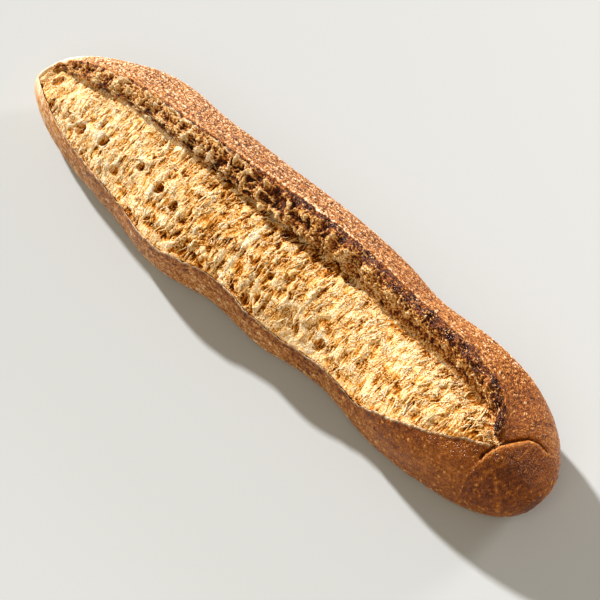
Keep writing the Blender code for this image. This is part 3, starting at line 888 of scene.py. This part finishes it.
# Painted shade: the cells are paler where their bump stands up and browner where it dips.
EAR_CELL_TONE_AND_SHADE = -1.5
charred_crumb, tree = new_material("charred_wheat_crumb")
toast_and_shade_mark, char = (
    add_node(tree, "ShaderNodeAttribute", {"attribute_name": mark}).outputs["Fac"]
    for mark in ("toast", "char")
)
cells, spread = noise_pattern(tree, CRUMB_CELLS, EAR_CELL_TONE_AND_SHADE)
toasting_and_shade = add_node(tree, "ShaderNodeMath", {"operation": "ADD"}, {0: toast_and_shade_mark, 1: spread}).outputs[0]
colour = add_node(tree, "ShaderNodeValToRGB", {"stops": EAR_TOASTING}, {"Fac": toasting_and_shade}).outputs["Color"]
glassy = {"From Min": 0.2, "From Max": 1.0, "To Min": 0.85, "To Max": 0.22}
shine = add_node(tree, "ShaderNodeMapRange", glassy, {"Value": char}).outputs[0]
gritty = {"Strength": 1.0, "Distance": 2.4 * MM}
crumbs = add_node(tree, "ShaderNodeBump", gritty, {"Height": cells}).outputs["Normal"]
shader = add_node(
    tree, "ShaderNodeBsdfPrincipled",
    {"Specular IOR Level": 0.42},
    {"Base Color": colour, "Roughness": shine, "Normal": crumbs},
)
add_node(tree, "ShaderNodeOutputMaterial", links={"Surface": shader.outputs["BSDF"]})
ear.data.materials.append(charred_crumb)
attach(ear, "root")
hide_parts("loaf")

# ======================================================================================================
# Strands. Threads of dough that stretched across the opening cut and dried there. They are short, soft and
# tapered, and lie on the crumb, most of them across the loaf. One mesh of closed rods.
# ======================================================================================================
STRAND_SIDES = 5
STRAND_STEPS = 8
STRANDS_A_LENGTH = 420
STRAND_SHREDS = 0.6

# The crumb's columns by its lip, along its middle and by the groove: how far apart its rows and its columns
# are is measured there.
LIP_COLUMN, MIDDLE_COLUMN, GROOVE_COLUMN = 3, 70, 140


def along_surface(surface, places):
    """Points of a grid at fractional rows and columns."""
    row = np.clip(places[..., 0], 0, surface.shape[0] - 1.001)
    column = np.clip(places[..., 1], 0, surface.shape[1] - 1.001)
    i, j = row.astype(int), column.astype(int)
    down, right = (row - i)[..., None], (column - j)[..., None]
    near = blend(surface[i, j], surface[i, j + 1], right)
    return blend(near, blend(surface[i + 1, j], surface[i + 1, j + 1], right), down)


def tapered_rods(name, paths, radii, marks):
    """One mesh of closed rods along paths of STRAND_STEPS + 1 points, with their radii across and upright."""
    rod_mesh, step, turn = ball_of(name + "_rod", STRAND_SIDES, STRAND_STEPS)
    rod = new_object(name + "_rod", rod_mesh)
    copies = rod.modifiers.new("copies", "ARRAY")
    copies.count = len(paths)
    copies.use_relative_offset = False
    view = bpy.context.evaluated_depsgraph_get()
    mesh = bpy.data.meshes.new_from_object(rod.evaluated_get(view))
    mesh.name = name
    bpy.data.objects.remove(rod)
    ahead = np.gradient(paths, axis=1)
    ahead /= np.maximum(1e-9, np.linalg.norm(ahead, axis=2, keepdims=True))
    side = np.cross(ahead, (0, 0, 1.0))
    side /= np.maximum(1e-9, np.linalg.norm(side, axis=2, keepdims=True))
    upright = np.cross(side, ahead)
    taper = np.sin(math.pi * (0.08 + 0.84 * step / STRAND_STEPS)) ** 0.6
    taper[(step == 0) | (step == STRAND_STEPS)] = 0
    ring = np.cos(turn)[None, :, None] * side[:, step] * radii[:, None, :1]
    ring += np.sin(turn)[None, :, None] * upright[:, step] * radii[:, None, 1:]
    place = paths[:, step] + ring * taper[None, :, None] * MM
    repeated = {mark: np.repeat(values, len(step)) for mark, values in marks.items()}
    return finished_piece(name, mesh, place, repeated)


rng = np.random.default_rng(2024)
count = STRANDS_A_LENGTH
paths, radii = [], []
way = np.linspace(0, 1, STRAND_STEPS + 1)
arch = np.sin(math.pi * way)
for surface in (tip_surface, heel_surface):
    mm_a_row = (surface[1, MIDDLE_COLUMN, 0] - surface[0, MIDDLE_COLUMN, 0]) / MM
    row = rng.uniform(20, surface.shape[0] - 24, count)
    column = rng.uniform(4, 128, count)
    beside = surface[row.astype(int)]
    width = np.linalg.norm(beside[:, GROOVE_COLUMN] - beside[:, LIP_COLUMN], axis=1) / MM
    mm_a_column = np.maximum(0.08, width / (GROOVE_COLUMN - LIP_COLUMN))
    length = rng.uniform(2.5, 9.0, count)
    aim = rng.normal(0.0, 0.42, count) + 0.25
    bow = rng.normal(0.0, 0.5, count)
    places = np.empty((count, STRAND_STEPS + 1, 2))
    places[..., 0] = row[:, None] + (length * np.sin(aim) / mm_a_row)[:, None] * way
    places[..., 0] += (bow / mm_a_row)[:, None] * arch
    places[..., 1] = column[:, None] + (length * np.cos(aim) / mm_a_column)[:, None] * way
    path = along_surface(surface, places)
    lift = rng.uniform(0.0, 0.35, count)
    path[..., 2] += (lift[:, None] * arch - 0.08) * MM
    thick = rng.uniform(0.14, 0.30, count)
    paths.append(path)
    radii.append(np.stack([thick * rng.uniform(1.0, 1.9, count), thick], axis=1))
paths, radii = np.concatenate(paths), np.concatenate(radii)
smoothed = paths.copy()
smoothed[:, 1:-1] = (paths[:, :-2] + 2 * paths[:, 1:-1] + paths[:, 2:]) / 4
shade = rng.uniform(0.12, 0.5, len(paths))
strand_marks = {"toast": shade, "shreds": np.full(len(paths), STRAND_SHREDS)}
crumb_strands = tapered_rods("crumb_strands", smoothed, radii, strand_marks)
crumb_strands.data.materials.append(torn_crumb)
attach(crumb_strands, "root")
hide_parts("loaf")

# ======================================================================================================
# Floor, lights and camera. A plain pale floor, a low raking key light from the tip, a soft warm fill, and a
# weak low light from behind, which gives the crust its sheen.
# ======================================================================================================
bm = bmesh.new()
bmesh.ops.create_grid(bm, x_segments=1, y_segments=1, size=4.0)
floor_mesh = bpy.data.meshes.new("floor")
bm.to_mesh(floor_mesh)
bm.free()
floor = new_object("floor", floor_mesh)
plain, tree = new_material("plain_pale_floor")
shader = add_node(tree, "ShaderNodeBsdfPrincipled", {"Base Color": linear("#ADB3BA"), "Roughness": 0.9})
add_node(tree, "ShaderNodeOutputMaterial", links={"Surface": shader.outputs["BSDF"]})
floor.data.materials.append(plain)


def turned(back, up_hint=Vector((0, 0, 1))):
    """A matrix whose +Z looks back along a direction, level with the floor."""
    back = back.normalized()
    right = up_hint.cross(back).normalized()
    return Matrix((right, back.cross(right), back)).transposed().to_4x4()


def add_light(name, kind, place, back, settings):
    """A light at a place, which shines against the direction back."""
    data = bpy.data.lights.new(name, kind)
    for key, value in settings.items():
        setattr(data, key, value)
    new_object(name, data).matrix_world = Matrix.Translation(place) @ turned(Vector(back))


add_light("key", "SUN", (0, 0, 0), (-1.7, 0.3, 1.0), {
    "energy": 6.9, "angle": math.radians(3.5), "color": (1.0, 0.955, 0.88),
})
add_light("fill", "AREA", (0.6, -1.2, 1.6), (0.6, -1.2, 1.6), {
    "shape": "DISK", "size": 1.6, "energy": 16.0, "color": (1.0, 0.87, 0.62),
})
add_light("rim", "AREA", (0.38, 1.35, 0.42), (0.23, 1.35, 0.40), {
    "shape": "DISK", "size": 0.35, "energy": 13.0, "color": (1.0, 0.90, 0.84),
})

world = bpy.data.worlds.new("studio")
world.use_nodes = True
background = world.node_tree.nodes["Background"]
background.inputs["Color"].default_value = (1.0, 0.86, 0.67, 1.0)
background.inputs["Strength"].default_value = 0.34
bpy.context.scene.world = world
bpy.context.scene.view_settings.view_transform = "Standard"

AZIMUTH = math.radians(45.81)
ELEVATION = math.radians(55)
TARGET = Vector((0.0264, -0.0100, 0.025))
DISTANCE = 1.0
back = Vector((
    math.sin(AZIMUTH) * math.cos(ELEVATION), -math.cos(AZIMUTH) * math.cos(ELEVATION), math.sin(ELEVATION)
))
camera_data = bpy.data.cameras.new("camera")
camera_data.lens = 109.73
camera = new_object("camera", camera_data)
camera.matrix_world = Matrix.Translation(TARGET + back * DISTANCE) @ turned(back)
bpy.context.scene.camera = camera
